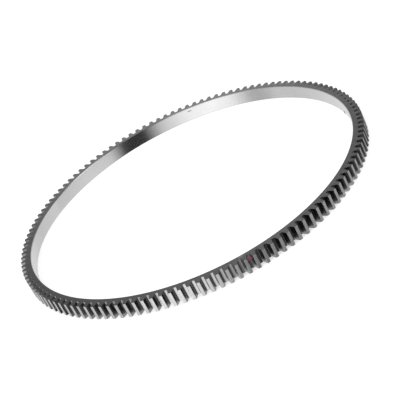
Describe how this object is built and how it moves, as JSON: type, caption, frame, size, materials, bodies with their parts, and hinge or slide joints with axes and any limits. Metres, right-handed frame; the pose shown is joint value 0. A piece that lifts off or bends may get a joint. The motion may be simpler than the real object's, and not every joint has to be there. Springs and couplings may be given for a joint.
{
  "type": "flywheel ring gear",
  "caption": "Thin steel ring with straight spur teeth all round its outside and a plain bore, made to be shrunk onto a flywheel's rim for a starter pinion to drive.",
  "frame": {"origin": "centre of the ring's lower side, on the axis of the bore", "axes": "+Z along the bore's axis, from the lower side to the upper side; +X through the middle of a tooth gap"},
  "size_m": [0.325, 0.325, 0.013],
  "materials": {
    "ring_steel": "turned and hobbed steel, dark sides, brighter bore and tooth flanks"
  },
  "bodies": {
    "root": {"ring_gear": "ring_steel"}
  },
  "joints": []
}
